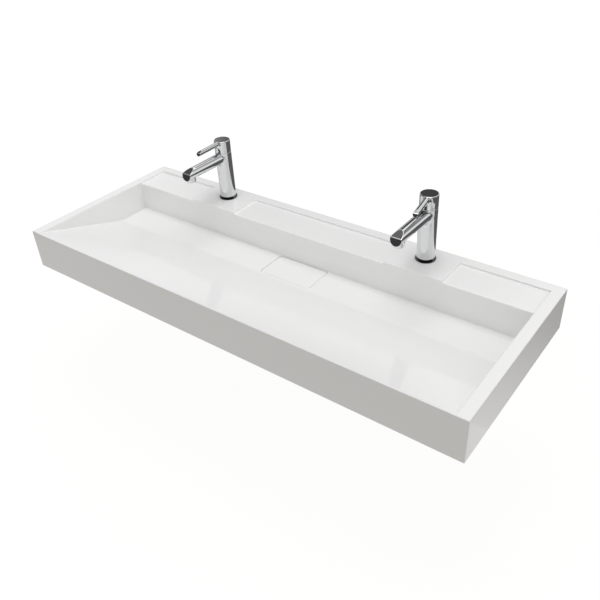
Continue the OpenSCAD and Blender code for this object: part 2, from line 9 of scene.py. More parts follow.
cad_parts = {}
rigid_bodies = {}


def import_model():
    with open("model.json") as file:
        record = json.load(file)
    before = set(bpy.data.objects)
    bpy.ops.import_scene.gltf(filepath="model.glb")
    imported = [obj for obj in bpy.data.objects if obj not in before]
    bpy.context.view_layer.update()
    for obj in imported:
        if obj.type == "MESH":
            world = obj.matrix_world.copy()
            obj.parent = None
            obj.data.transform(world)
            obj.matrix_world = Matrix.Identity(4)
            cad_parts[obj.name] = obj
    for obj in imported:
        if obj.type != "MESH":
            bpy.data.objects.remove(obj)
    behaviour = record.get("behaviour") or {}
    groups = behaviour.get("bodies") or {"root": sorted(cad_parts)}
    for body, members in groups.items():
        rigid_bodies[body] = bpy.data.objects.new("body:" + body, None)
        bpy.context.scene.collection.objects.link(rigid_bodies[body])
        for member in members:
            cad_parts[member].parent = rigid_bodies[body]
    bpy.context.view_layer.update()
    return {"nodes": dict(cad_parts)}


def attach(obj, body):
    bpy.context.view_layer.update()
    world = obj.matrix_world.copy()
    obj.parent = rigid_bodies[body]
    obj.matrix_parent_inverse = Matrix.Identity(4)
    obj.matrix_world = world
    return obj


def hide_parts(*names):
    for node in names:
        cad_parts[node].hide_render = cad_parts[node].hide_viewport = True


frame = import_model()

nodes = frame["nodes"]

# ---------------------------------------------------------------- The camera and the studio
# A normal lens looks down on the basin from the front right. Round it stands a plain white
# studio: a pale floor well below the underside, one large soft lamp overhead and a white sky
# that is dimmer for the light it gives than for the eye.
in_scene = bpy.context.scene.collection.objects
camera = bpy.data.objects.new("camera", bpy.data.cameras.new("camera"))
in_scene.link(camera)
bpy.context.scene.camera = camera
eye = (0.89046, -1.24190, 0.86061)
look = Vector((-0.51417, 0.63714, -0.57419)).normalized()
upright = Vector((-0.3121, 0.4845, 0.8173))
right = look.cross(upright).normalized()
camera.matrix_world = Matrix.Translation(eye) @ Matrix((right, right.cross(look), -look)).transposed().to_4x4()
camera.data.lens = 40.97
camera.data.sensor_width = 36.0
camera.data.clip_start = 0.05
camera.data.clip_end = 60.0
bpy.context.scene.view_settings.view_transform = "Standard"


class Value:
    """A number that varies over a surface or the sky: sums made with it add Math nodes to its tree."""

    def __init__(self, tree, socket):
        self.tree = tree
        self.socket = socket

    def reckon(self, operation, a, b):
        """One Math node on two numbers, each plain or varying."""
        made = self.tree.nodes.new("ShaderNodeMath")
        made.operation = operation
        for place, given in zip(made.inputs, (a, b)):
            if isinstance(given, Value):
                self.tree.links.new(given.socket, place)
            else:
                place.default_value = given
        return Value(self.tree, made.outputs[0])

    def __add__(self, other): return self.reckon("ADD", self, other)
    def __radd__(self, other): return self.reckon("ADD", other, self)
    def __rsub__(self, other): return self.reckon("SUBTRACT", other, self)
    def __mul__(self, other): return self.reckon("MULTIPLY", self, other)
    def __rmul__(self, other): return self.reckon("MULTIPLY", other, self)
    def __pow__(self, other): return self.reckon("POWER", self, other)
    def least(self, other): return self.reckon("MINIMUM", self, other)
    def most(self, other): return self.reckon("MAXIMUM", self, other)

    def ramp(self, *stops):
        """What a ramp through stops of place and grey gives at this number."""
        return add_node(self.tree, "ValToRGB", {"stops": stops}, n0=self)


def add_node(tree, kind, settings=None, out=0, **sockets):
    """Adds one node: its settings first, a ramp's stops among them, then the values or links of its sockets, which
    go by name or, as n0, n1 and so on, by number. Gives the output of the number asked for."""
    made = tree.nodes.new("ShaderNode" + kind)
    for key, given in (settings or {}).items():
        if key == "stops":
            ramp = made.color_ramp
            while len(ramp.elements) < len(given):
                ramp.elements.new(0.5)
            for element, (place, grey) in zip(ramp.elements, given):
                element.position = place
                element.color = (grey, grey, grey, 1.0)
        else:
            setattr(made, key, given)
    for key, given in sockets.items():
        numbered = key[0] == "n" and key[1:].isdigit()
        place = made.inputs[int(key[1:])] if numbered else made.inputs[key.replace("_", " ")]
        if isinstance(given, Value):
            tree.links.new(given.socket, place)
        else:
            place.default_value = given
    return Value(tree, made.outputs[out])


sky = bpy.data.worlds.new("sky")
bpy.context.scene.world = sky
sky.use_nodes = True
air = sky.node_tree
air.nodes.clear()
rays = air.nodes.new("ShaderNodeLightPath")
seen = Value(air, rays.outputs["Is Camera Ray"]) + Value(air, rays.outputs["Is Transmission Ray"])
mirrored = Value(air, rays.outputs["Is Glossy Ray"])
direction = Value(air, air.nodes.new("ShaderNodeTexCoord").outputs["Generated"])
to_x, to_y, to_z = (add_node(air, "SeparateXYZ", out=k, n0=direction) for k in range(3))
upward = to_z * 0.5 + 0.5
backward = to_y * 0.5 + 0.5
forward = 0.5 - to_y * 0.5
# The light that it gives: more from above than from the horizon, and more from the right.
glow = upward.ramp((0.0, 0.35), (0.5, 0.41), (0.75, 0.62), (1.0, 0.49)) * (1.0 + 0.41 * to_x)
# What metal shows of it: a white room over a dark horizon, brighter low at the back and dim
# behind the camera up to half height.
room = upward.ramp((0.0, 0.11), (0.500, 0.10), (0.512, 0.70), (0.60, 0.90), (0.80, 1.0))
low_back = upward.ramp((0.0, 0.35), (0.53, 0.35), (0.60, 0.0)) * backward.ramp((0.0, 0.0), (0.82, 0.0), (0.94, 1.0))
behind_camera = forward.ramp((0.0, 0.0), (0.30, 0.0), (0.38, 1.0))
half_height = upward.ramp((0.0, 0.0), (0.56, 0.0), (0.60, 1.0), (0.80, 1.0), (0.90, 0.0))
shown = room * (1.0 + low_back) * (1.0 - 0.96 * behind_camera * half_height)
# Three screens hang in it, clear of the horizon: a dark one at the back left, a grey one at the
# back right and one high at the left. Each is as dark as its share from its inner edge inwards;
# both edges are cosines of the angle from its middle. The lamp is a bright disc overhead.
raised = upward.ramp((0.0, 0.0), (0.55, 0.0), (0.59, 1.0))
for middle, outer_edge, inner_edge, share in (((-0.4775, 0.795, 0.3746), 0.945, 0.980, 0.93),
                                              ((0.3634, 0.7451, 0.5592), 0.9397, 0.9945, 0.75),
                                              ((-0.56, 0.18, 0.81), 0.955, 0.975, 0.84)):
    across = add_node(air, "VectorMath", {"operation": "DOT_PRODUCT"}, out=1, n0=direction, n1=middle)
    shown = shown * (1.0 - raised * across.ramp((0.0, 0.0), (outer_edge, 0.0), (inner_edge, share)))
shown = shown + 2.6 * upward.ramp((0.0, 0.0), (0.974, 0.0), (0.980, 1.0))
lit = add_node(air, "Mix", {"data_type": "RGBA"}, out=2, n0=mirrored, n6=glow, n7=shown)
whole = add_node(air, "Mix", {"data_type": "RGBA"}, out=2, n0=seen, n6=lit, n7=(1.0, 1.0, 1.0, 1.0))
back = air.nodes.new("ShaderNodeBackground")
air.links.new(whole.socket, back.inputs["Color"])
air.links.new(back.outputs[0], air.nodes.new("ShaderNodeOutputWorld").inputs["Surface"])

light = bpy.data.lights.new("overhead", "AREA")
light.shape, light.size, light.energy = "SQUARE", 1.6, 27.6
overhead = bpy.data.objects.new("overhead", light)
in_scene.link(overhead)
overhead.location = (0.1, -0.25, 2.5)
overhead.rotation_euler = (Vector((0.0, -0.2, 0.0)) - overhead.location).to_track_quat("-Z", "Y").to_euler()
overhead.visible_glossy = False

GROUND_HALF, GROUND_Z = 9.0, -0.45
floor_mesh = bpy.data.meshes.new("floor")
floor_mesh.from_pydata([(sx * GROUND_HALF, sy * GROUND_HALF, GROUND_Z)
                        for sx, sy in ((-1, -1), (1, -1), (1, 1), (-1, 1))], [], [(0, 1, 2, 3)])
floor = bpy.data.objects.new("floor", floor_mesh)
in_scene.link(floor)
floor_look = bpy.data.materials.new("floor")
floor_look.use_nodes = True
ground = floor_look.node_tree
ground.nodes.clear()
ground_rays = ground.nodes.new("ShaderNodeLightPath")
plain = ground.nodes.new("ShaderNodeBsdfDiffuse")
plain.inputs["Color"].default_value = (0.53, 0.50, 0.45, 1.0)
white = ground.nodes.new("ShaderNodeEmission")
mirror = ground.nodes.new("ShaderNodeEmission")
spot = Value(ground, ground.nodes.new("ShaderNodeTexCoord").outputs["Object"])
spot_x, spot_y = (add_node(ground, "SeparateXYZ", out=k, n0=spot) for k in range(2))
# To the eye it is white, a trace more so far out, where the basin no longer shades it.
far = add_node(ground, "VectorMath", {"operation": "LENGTH"}, out=1, n0=spot)
brim = (far * 0.25).ramp((0.0, 0.0), (0.20, 0.0), (0.45, 1.0))
ground.links.new((1.11 + 0.04 * brim).socket, white.inputs["Color"])
# In reflections it is white round the basin, dark behind it and far off, darkest far in front,
# and a white strip that fades towards the back lies at its right.
shifted = add_node(ground, "VectorMath", {"operation": "ADD"}, n0=spot, n1=(0.4, 0.0, -GROUND_Z))
away = add_node(ground, "VectorMath", {"operation": "LENGTH"}, out=1, n0=shifted)
near = (away * 0.25).ramp((0.0, 0.9), (0.33, 0.9), (0.46, 0.11), (1.0, 0.11))
behind = (spot_y + 0.5).ramp((0.0, 1.0), (0.5, 1.0), (0.56, 0.12), (1.0, 0.12))
ahead = (spot_y * -0.25).ramp((0.0, 1.0), (0.45, 1.0), (0.55, 0.45))
beside = spot_x.ramp((0.0, 0.0), (0.66, 0.0), (0.70, 1.0), (0.80, 1.0), (0.84, 0.0))
fading = (spot_y * 0.6 + 0.4).ramp((0.0, 0.9), (0.40, 0.8), (0.72, 0.25), (1.0, 0.1))
ground.links.new((near.least(behind) * ahead).most(beside * fading).socket, mirror.inputs["Color"])


def mixed(share, one, other):
    """Lays one of the floor's shaders over another by a share."""
    made = ground.nodes.new("ShaderNodeMixShader")
    for place, given in zip(made.inputs, (share, one, other)):
        ground.links.new(given, place)
    return made.outputs[0]


by_eye, through_glass, in_mirror = (Value(ground, ground_rays.outputs["Is " + way + " Ray"])
                                    for way in ("Camera", "Transmission", "Glossy"))
shading = mixed(((by_eye + through_glass) * 0.85).socket, plain.outputs[0], white.outputs[0])
shading = mixed(in_mirror.socket, shading, mirror.outputs[0])
ground.links.new(shading, ground.nodes.new("ShaderNodeOutputMaterial").inputs["Surface"])
floor_mesh.materials.append(floor_look)


# ---------------------------------------------------------------- The basin
# One casting of mineral resin, a stone powder bound with polyester, poured in a mould whose
# walls were first sprayed with a glossy white gel coat. It hangs on four bolts in the wall,
# and every edge and corner of it is a little round, as the mould was.
HALF_W, FRONT, RIM, UNDER = 0.600, -0.460, 0.042, -0.060
BOWL_X, BOWL_BACK, RIM_Y = 0.574, -0.112, -0.025
FLOOR_Z, SLOPE, LIP_Y, CREASE_Y = -0.0395, 0.32087, -0.457, -0.203
PLATFORM, TRAY = (0.224, 0.370), 0.005
TOP_R, SIDE_TOP_R, FOOT_R, TRAY_TOP_R, TRAY_FOOT_R, EDGE_R = 0.0022, 0.0012, 0.0032, 0.0012, 0.0016, 0.0018


def floor_height(y):
    """Height of the bowl's floor: the rim's, falling by SLOPE from the lip on, then flat; each bend is a parabola."""
    lip, crease = 0.0014, 0.0094
    below_lip = y - LIP_Y
    run = np.where(np.abs(below_lip) < lip, (below_lip + lip) ** 2 / (4 * lip), np.maximum(below_lip, 0.0))
    past = y - CREASE_Y
    bent = FLOOR_Z + SLOPE * (past - crease) ** 2 / (4 * crease)
    return np.where(np.abs(past) < crease, bent, np.where(past > 0, FLOOR_Z, RIM - SLOPE * run))


def faces_of(rows, columns, closed=False):
    """The quads of a grid of points, row after row; a closed grid joins its last column to its first."""
    i, j = np.meshgrid(np.arange(rows - 1), np.arange(columns if closed else columns - 1), indexing="ij")
    k = (j + 1) % columns
    quads = np.stack([i * columns + j, i * columns + k, (i + 1) * columns + k, (i + 1) * columns + j], axis=-1)
    return quads.reshape(-1, 4)


def cut_out(thing, points, faces):
    """Cuts a closed solid out of a piece for good, and drops the solid."""
    mesh = bpy.data.meshes.new("cutter")
    mesh.from_pydata(points.tolist(), [], faces)
    cutter = bpy.data.objects.new("cutter", mesh)
    in_scene.link(cutter)
    step = thing.modifiers.new("cut", "BOOLEAN")
    step.operation, step.solver, step.object = "DIFFERENCE", "EXACT", cutter
    with bpy.context.temp_override(object=thing, active_object=thing):
        bpy.ops.object.modifier_apply(modifier=step.name)
    bpy.data.objects.remove(cutter)
    bpy.data.meshes.remove(mesh)


def make_piece(name, points, faces, material, holes=()):
    """A mesh object from its points and faces, less its holes, which are closed solids. It is shaded smooth except
    over edges of more than 35 degrees, and its flat faces are kept flat."""
    mesh = bpy.data.meshes.new(name)
    mesh.from_pydata(np.asarray(points, float).reshape(-1, 3).tolist(), [], [list(map(int, f)) for f in faces])
    mesh.validate()
    mesh.materials.append(material)
    thing = bpy.data.objects.new(name, mesh)
    in_scene.link(thing)
    for hole in holes:
        cut_out(thing, *hole)
    thing.data.shade_smooth()
    thing.data.set_sharp_from_angle(angle=math.radians(35.0))
    flat = thing.modifiers.new("flat faces", "WEIGHTED_NORMAL")
    flat.keep_sharp = True
    flat.weight = 60
    return thing


# The casting is a sheet of grid lines along X and Y, each with a place, a kind and a turn. The
# kinds: a plain line, the foot and the top of the bowl's side, those of a tray's side, the outer
# edge. The turn runs through a quarter circle, from a flat face to an upright one.
PLAIN, FOOT, TOP, TRAY_FOOT, TRAY_TOP, EDGE = range(6)
TURNS = np.linspace(0, math.pi / 2, 6)


def inset(r, turn):
    """How far inside its outermost place a quarter circle of radius r is at a turn: r less r sine."""
    return r * (1 - np.sin(turn))


def drop(r, turn):
    """How far below its top a quarter circle of radius r is at a turn: r less r cosine."""
    return r * (1 - np.cos(turn))


def ball_drop(r, a, b):
    """How far below its top a ball's corner is at shares a and b of its radius: r less r root (1 - aa)(1 - bb)."""
    return r * (1 - np.sqrt((1 - a * a) * (1 - b * b)))


def on_disc(a, b):
    """Maps the unit square onto a quarter of a disc: a root (1 - bb / 2) and b root (1 - aa / 2)."""
    return a * np.sqrt(1 - b * b / 2), b * np.sqrt(1 - a * a / 2)


def plain_lines(places):
    """A plain grid line at each place."""
    return [(place, PLAIN, 0.0) for place in places]


def round_lines(place, kind, turns, r=0.0):
    """One grid line to each turn of a round edge of radius r at a place."""
    return [(place + inset(r, turn), kind, turn) for turn in turns]


def side_lines(inner):
    """Grid lines from the middle to one end of the casting: the two sides of a platform, the bowl's and the edge,
    with as many of the plain inner lines between them as stay clear of them."""
    near, far = PLATFORM
    clear, bowl_clear = 0.004, 0.010
    rows = plain_lines(x for x in inner if x < near - clear)
    rows += round_lines(near, TRAY_FOOT, TURNS, -TRAY_FOOT_R) + round_lines(near, TRAY_TOP, TURNS[::-1], TRAY_TOP_R)
    rows += plain_lines(x for x in inner if near + clear < x < far - clear)
    rows += round_lines(far, TRAY_TOP, TURNS, -TRAY_TOP_R) + round_lines(far, TRAY_FOOT, TURNS[::-1], TRAY_FOOT_R)
    rows += plain_lines(x for x in inner if far + clear < x < BOWL_X - bowl_clear)
    rows += round_lines(BOWL_X, FOOT, TURNS) + round_lines(BOWL_X, TOP, TURNS[::-1])
    rows += plain_lines((HALF_W - 0.014, HALF_W - EDGE_R - 0.003)) + round_lines(HALF_W, EDGE, TURNS)
    return np.array(rows)


half = side_lines(np.linspace(0, BOWL_X, 33))
lines_x = np.concatenate([half[:0:-1] * [-1, 1, 1], half])
# Along Y they crowd at the lip, at the crease and where a hollow of the underside begins or ends.
lines_y = np.array(
    round_lines(FRONT, EDGE, TURNS[::-1])
    + plain_lines((-0.4584, -0.4578, -0.4570, -0.4562, -0.4556, -0.4548))
    + plain_lines((-0.452, -0.447, -0.446, -0.4455, -0.4445, -0.4380))
    + plain_lines(np.linspace(-0.424, -0.240, 12)) + plain_lines((-0.231, -0.230, -0.2295, -0.2285))
    + plain_lines(np.linspace(-0.2124, -0.1936, 9)) + plain_lines(np.linspace(-0.186, -0.122, 6))
    + round_lines(BOWL_BACK, FOOT, TURNS) + round_lines(BOWL_BACK, TOP, TURNS[::-1])
    + plain_lines((-0.104, -0.099, -0.098, -0.0975, -0.0965, -0.080, -0.065, -0.050, -0.035))
    + round_lines(RIM_Y, TRAY_FOOT, TURNS) + round_lines(RIM_Y, TRAY_TOP, TURNS[::-1])
    + plain_lines((-0.0195, -0.012, -0.006)) + round_lines(0.0, EDGE, TURNS))


def round_corners(x, y, r):
    """Rounds the four upright corners of the outline: each corner square is mapped onto a quarter of a disc."""
    middle = FRONT / 2
    a = np.clip((np.abs(x) - (HALF_W - r)) / r, 0, 1)
    b = np.clip((np.abs(y - middle) - (-middle - r)) / r, 0, 1)
    both = (a > 0) & (b > 0)
    disc_a, disc_b = on_disc(a, b)
    new_x = np.sign(x) * (HALF_W - r + r * disc_a)
    new_y = middle + np.sign(y - middle) * (-middle - r + r * disc_b)
    return np.where(both, new_x, x), np.where(both, new_y, y)


def edge_drop():
    """How far each point of the grid lies below the top of the round outer edge: a ball's drop at the corners."""
    a, b = (np.where(lines[:, 1] == EDGE, np.sin(lines[:, 2]), 0.0) for lines in (lines_x, lines_y))
    return ball_drop(EDGE_R, a[None, :], b[:, None])


def upper_face():
    """The top of the casting, X lines times Y lines. Its height is the rim's less the drop of a tray or of the bowl.
    Each wall has a round top and a round foot, quarter circles whose radii shrink where the wall gets low; where two
    feet meet, the height is that of a ball in the corner, and the bowl's two upright corners are rounded in plan."""
    x0, kx, ax = (c[None, :] for c in lines_x.T)
    y0, ky, ay = (c[:, None] for c in lines_y.T)
    in_bowl = ((y0 < BOWL_BACK) | (ky == FOOT)) & (ky != TOP)
    front_edge = (ky == EDGE) & (y0 < FRONT / 2)
    y = y0 + inset(np.select([ky == FOOT, ky == TOP, ky == TRAY_FOOT, ky == TRAY_TOP, front_edge, ky == EDGE],
                             [-FOOT_R, TOP_R, -TRAY_FOOT_R, TRAY_TOP_R, EDGE_R, -EDGE_R], 0.0), ay)
    floor_z = floor_height(y)
    low = np.clip((RIM - floor_z) / (TOP_R + FOOT_R), 0.0, 1.0)
    top_r = np.where(in_bowl, SIDE_TOP_R * low, TRAY_TOP_R)
    foot_r = np.where(in_bowl, FOOT_R * low, TRAY_FOOT_R)
    least_share, fade, hair = 0.2, 0.010, 1e-6
    wide = np.maximum(low, least_share)
    wide_foot = np.where(in_bowl, FOOT_R * wide, TRAY_FOOT_R)
    wide_top = np.where(in_bowl, SIDE_TOP_R * wide, TRAY_TOP_R)
    x = x0 + np.sign(x0) * inset(np.select([kx == FOOT, kx == TOP, kx == EDGE],
                                           [-wide_foot, wide_top, -EDGE_R + 0 * wide_top], 0.0), ax)

    on_tray = ((np.abs(x0) < PLATFORM[0]) | (np.abs(x0) > PLATFORM[1])) & (np.abs(x0) < BOWL_X)
    tray_x = np.select([(kx == TRAY_FOOT) | (kx == FOOT), (kx == TRAY_TOP) | (kx == TOP), on_tray],
                       [TRAY - drop(TRAY_FOOT_R, ax), drop(TRAY_TOP_R, ax), TRAY + 0 * ax], 0.0)
    tray_y = np.select([ky == TRAY_FOOT, ky == TRAY_TOP, y0 < RIM_Y],
                       [TRAY - drop(TRAY_FOOT_R, ay), drop(TRAY_TOP_R, ay), TRAY + 0 * ay], 0.0)
    deck = RIM - np.minimum(tray_x, tray_y) - np.where(ky == TOP, drop(TOP_R, ay), 0.0)
    beside_bowl = RIM - np.where(kx == TOP, drop(top_r, ax), 0.0)
    beside_deck = RIM - np.where(kx == TOP, drop(TOP_R, ax), 0.0)
    within = (kx == FOOT) | ((np.abs(x0) < BOWL_X) & (kx != TOP))
    a = np.where(kx == FOOT, np.sin(ax), 1.0 - within)
    b = np.where(ky == FOOT, np.sin(ay), 0.0)
    bowl = floor_z + ball_drop(foot_r, a, b)
    z = np.where(in_bowl, np.where(within, bowl, beside_bowl),
                 np.where((ky == TOP) & ~within, np.maximum(deck, beside_deck), deck))

    middle_x, middle_y = BOWL_X - FOOT_R, BOWL_BACK - FOOT_R
    x, y = x + 0 * y, y + 0 * x
    a = np.clip((np.abs(x) - middle_x) / FOOT_R, 0, 1)
    b = np.clip((y - middle_y) / FOOT_R, 0, 1)
    deep = np.clip((RIM - TRAY - TOP_R - z) / fade, 0, 1)
    inner = (np.abs(x) <= BOWL_X + hair) & (y <= BOWL_BACK + hair) & (a > 0) & (b > 0)
    disc_a, disc_b = on_disc(a, b)
    round_x, round_y = np.sign(x) * (middle_x + FOOT_R * disc_a), middle_y + FOOT_R * disc_b
    x, y = (np.where(inner, old + deep * (new - old), old) for old, new in ((x, round_x), (y, round_y)))
    return np.stack([*round_corners(x, y, EDGE_R), z - edge_drop()], axis=-1)


upper = upper_face()

# The underside is a second sheet on the same lines. Its two hollows, one under the slope and one
# under the shelf, leave walls of even thickness, and each side of a hollow takes four lines.
HOLLOW_SIDE, SLOPE_HOLLOW, SHELF_HOLLOW = 0.574, (-0.446, -0.230), (-0.098, -0.023)
SHELF_UNDER, SHELF_Y, THICK, SLANT = 0.024, -0.065, 0.0147, 0.001
OUT, MOUTH, ROOF, IN = range(4)


def four_lines(place, role, first, at, side):
    """Gives four grid lines, from the first on, to one upright side of a hollow that lies to the given side of it."""
    steps = [(-SLANT, OUT), (0.0, MOUTH), (0.0, ROOF), (SLANT, IN)][::side]
    for k, (step, what) in enumerate(steps):
        place[first + k], role[first + k] = at + side * step, what


def lower_face():
    """The underside: flat, and inside a hollow the hollow's roof, with a 1 mm slant at the mouth and at the roof.
    Its lines lie under those of the top, except at the hollows' sides, where lines of the top's round edges serve."""
    count, shelf_row = len(half), np.argmin(np.abs(lines_y[:, 0] - SHELF_Y))
    px, role_x = upper[shelf_row, -count:, 0].copy(), np.full(count, IN)
    foot = int(np.flatnonzero(half[:, 1] == FOOT)[0])
    round_count = 2 * len(TURNS)
    px[foot:foot + round_count] = BOWL_X + np.linspace(-0.004, 0.007, round_count)
    role_x[foot:] = OUT
    role_x[foot:foot + 3] = IN
    four_lines(px, role_x, foot + 3, HOLLOW_SIDE, -1)
    px, role_x = np.concatenate([-px[:0:-1], px]), np.concatenate([role_x[:0:-1], role_x])
    py, role_y = upper[:, count, 1].copy(), np.full(len(lines_y), OUT)
    for low, high in (SLOPE_HOLLOW, SHELF_HOLLOW):
        role_y[(py > low) & (py < high)] = IN
    for first, at, side in ((-0.447, SLOPE_HOLLOW[0], 1), (-0.231, SLOPE_HOLLOW[1], -1),
                            (-0.099, SHELF_HOLLOW[0], 1)):
        four_lines(py, role_y, int(np.argmin(np.abs(lines_y[:, 0] - first))), at, side)
    last, turns = int(np.flatnonzero(lines_y[:, 1] == TRAY_TOP)[0]), len(TURNS)
    py[last:last + turns] = SHELF_HOLLOW[1] + np.linspace(-0.002, 0.003, turns)
    role_y[last:last + turns] = OUT
    four_lines(py, role_y, last + 1, SHELF_HOLLOW[1], -1)
    role_y[last] = IN
    x, y = px[None, :] + 0 * py[:, None], py[:, None] + 0 * px[None, :]
    level = np.minimum(role_x[None, :], role_y[:, None])
    roof = np.where(y > (SLOPE_HOLLOW[1] + SHELF_HOLLOW[0]) / 2, SHELF_UNDER, floor_height(y) - THICK)
    z = np.select([level == OUT, level == MOUTH, level == ROOF],
                  [UNDER + 0 * y, UNDER + SLANT + 0 * y, roof - SLANT], roof)
    return np.stack([*round_corners(x, y, EDGE_R), z + edge_drop()], axis=-1)


lower = lower_face()
grid_rows, grid_columns = upper.shape[:2]
number = np.arange(grid_rows * grid_columns).reshape(grid_rows, grid_columns)
border = np.concatenate([number[0, :-1], number[:-1, -1], number[-1, :0:-1], number[:0:-1, 0]])
along = np.roll(border, -1)
below = number.size
band = np.stack([border, border + below, along + below, along], axis=-1)
top_faces = faces_of(grid_rows, grid_columns)
all_faces = np.concatenate([top_faces, top_faces[:, ::-1] + below, band])


class Finish:
    """A material whose main shader is the Principled one, with its own tree of nodes."""

    def __init__(self, name, colour, rough, **fixed):
        self.material = bpy.data.materials.new(name)
        self.material.use_nodes = True
        self.tree = self.material.node_tree
        self.shader = self.tree.nodes["Principled BSDF"]
        self.set("Base Color", (*colour, 1.0))
        self.set("Roughness", rough)
        for socket, given in fixed.items():
            self.set(socket.replace("_", " "), given)
        self.place = Value(self.tree, self.tree.nodes.new("ShaderNodeTexCoord").outputs["Object"])

    def set(self, socket, given):
        """Puts a number, a colour or a link on one of the shader's sockets."""
        if isinstance(given, Value):
            self.tree.links.new(given.socket, self.shader.inputs[socket])
        else:
            self.shader.inputs[socket].default_value = given

    def noise(self, scale, detail=3.0, rough=0.5, stretch=None):
        """Noise on the piece's own coordinates, about 0.5, at so many lumps to the metre."""
        place = self.place
        if stretch:
            place = add_node(self.tree, "VectorMath", {"operation": "MULTIPLY"}, n0=place, n1=stretch)
        return add_node(self.tree, "TexNoise", Vector=place, Scale=scale, Detail=detail, Roughness=rough)

    def tint(self, share, one, other):
        """Colours the piece between two colours, by a share that varies."""
        self.set("Base Color", add_node(self.tree, "Mix", {"data_type": "RGBA"}, out=2,
                                        n0=share, n6=(*one, 1.0), n7=(*other, 1.0)))

    def bump(self, height, distance, strength):
        """Bends the surface's normal by a height that varies, at most so many metres deep."""
        self.set("Normal", add_node(self.tree, "Bump", n0=strength, n1=distance, Height=height))


# Gel coat: bright white and glossy, flowing in very shallow waves, with the finest dulling where
# water has dried. Its colour drifts by less than the eye can name.
gel_coat = Finish("gel_coat", (0.92, 0.92, 0.915), 0.09, IOR=1.5, Coat_Weight=0.3, Coat_Roughness=0.03, Coat_IOR=1.5)
gel_coat.tint(gel_coat.noise(5.0, 4.0), (0.91, 0.91, 0.906), (0.93, 0.928, 0.924))
gel_coat.set("Roughness", 0.06 + 0.10 * gel_coat.noise(28.0, 6.0, 0.62) ** 2.0)
gel_coat.bump(gel_coat.noise(9.0, 2.0) + 0.02 * gel_coat.noise(700.0, 2.0), 0.0004, 0.5)


def prism(outline, low, high):
    """A closed upright prism: the points and faces of an outline carried from one height to another."""
    n = len(outline)
    points = np.concatenate([np.column_stack([outline, np.full(n, z)]) for z in (low, high)])
    sides = [(k, (k + 1) % n, n + (k + 1) % n, n + k) for k in range(n)]
    return points, [tuple(range(n))[::-1], tuple(range(n, 2 * n))] + sides


def circle(x, y, r, n=64):
    """The points of a circle, once round."""
    turn = np.arange(n) * 2 * math.pi / n
    return np.stack([x + r * np.cos(turn), y + r * np.sin(turn)], axis=-1)


def soft_outline(wide, deep, r, at):
    """A rectangle whose corners are quarter circles of ten points each, once round, anticlockwise."""
    turn = np.linspace(0, math.pi / 2, 10)
    corners = [(1, 1, turn), (-1, 1, turn + math.pi / 2), (-1, -1, turn + math.pi), (1, -1, turn + 3 * math.pi / 2)]
    return np.concatenate([np.stack([at[0] + sx * (wide / 2 - r) + r * np.cos(angle),
                                     at[1] + sy * (deep / 2 - r) + r * np.sin(angle)], axis=-1)
                           for sx, sy, angle in corners])


TAP_X, TAP_Y, TAP_HOLE_R, SHELF_THROUGH = 0.297, -0.049, 0.0175, (0.0, 0.06)
BOLT_OUT, BOLT_R, WALL_THROUGH = 0.140, 0.006, (-0.03, 0.01)
COVER, COVER_AT, GAP, SUMP_Z = (0.145, 0.084, 0.006), (0.0, -0.155), 0.001, -0.0515
WASTE_R, FLOOR_THROUGH = 0.02295, (-0.08, -0.03)


def wall_hole(x):
    """The points and faces of a round bar through the back wall, 12 mm thick, for a hanger bolt."""
    points, faces = prism(circle(x, 0.0, BOLT_R, 32), *WALL_THROUGH)
    return points[:, [0, 2, 1]], [f[::-1] for f in faces]


basin_holes = [prism(circle(side * TAP_X, TAP_Y, TAP_HOLE_R), *SHELF_THROUGH) for side in (-1, 1)]
basin_holes += [wall_hole(side * TAP_X + end * BOLT_OUT) for side in (-1, 1) for end in (-1, 1)]
sump = soft_outline(COVER[0] + 2 * GAP, COVER[1] + 2 * GAP, COVER[2] + GAP, COVER_AT)
basin_holes += [prism(sump, SUMP_Z, 0.0), prism(circle(*COVER_AT, WASTE_R), *FLOOR_THROUGH)]
basin = make_piece("basin_casting", np.concatenate([upper.reshape(-1, 3), lower.reshape(-1, 3)]), all_faces,
                   gel_coat.material, basin_holes)
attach(basin, "root")
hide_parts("basin")


# ---------------------------------------------------------------- The drain cover
# A loose plate of the same resin, cast with small round edges. It lies on four pads in the sump
# with a narrow gap all round, where the water runs off, and lifts straight out.
def plate(outline, low, high, r):
    """A plate with round edges: the outline, drawn in by a quarter circle's depth at each turn, above and below."""
    centre = outline.mean(axis=0)
    turns = np.linspace(0, math.pi / 2, 5)
    steps = [(inset(r, a), low + drop(r, a)) for a in turns] + [(inset(r, a), high - drop(r, a)) for a in turns[::-1]]
    reach = np.abs(outline - centre).max(axis=0)
    rings = [np.column_stack([centre + (outline - centre) * (1 - depth / reach), np.full(len(outline), z)])
             for depth, z in steps]
    n, last = len(outline), (len(rings) - 1) * len(outline)
    faces = [tuple(f) for f in faces_of(len(rings), n, closed=True)]
    return np.concatenate(rings), faces + [tuple(range(n))[::-1], tuple(range(last, last + n))]


COVER_UNDER, COVER_EDGE_R = -0.0475, 0.0010
cover_points, cover_faces = plate(soft_outline(*COVER, COVER_AT), COVER_UNDER, FLOOR_Z, COVER_EDGE_R)
cover = make_piece("drain_cover_plate", cover_points, cover_faces, gel_coat.material)
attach(cover, "cover")
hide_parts("drain_cover")

# Its four pads are black rubber, glued on from below, with a dull, faintly pitted skin.
rubber = Finish("rubber", (0.03, 0.03, 0.03), 0.6)
pits = rubber.noise(900.0, 4.0)
rubber.tint(pits, (0.022, 0.022, 0.023), (0.045, 0.044, 0.043))
rubber.set("Roughness", 0.5 + 0.25 * pits)
rubber.bump(pits, 0.0001, 0.4)


def dress(material, *names):
    """Gives CAD nodes that keep their own shape a material in place of their plain one."""
    for name in names:
        for slot in nodes[name].material_slots:
            slot.link = "OBJECT"
            slot.material = material


dress(rubber.material, "cover_pads")


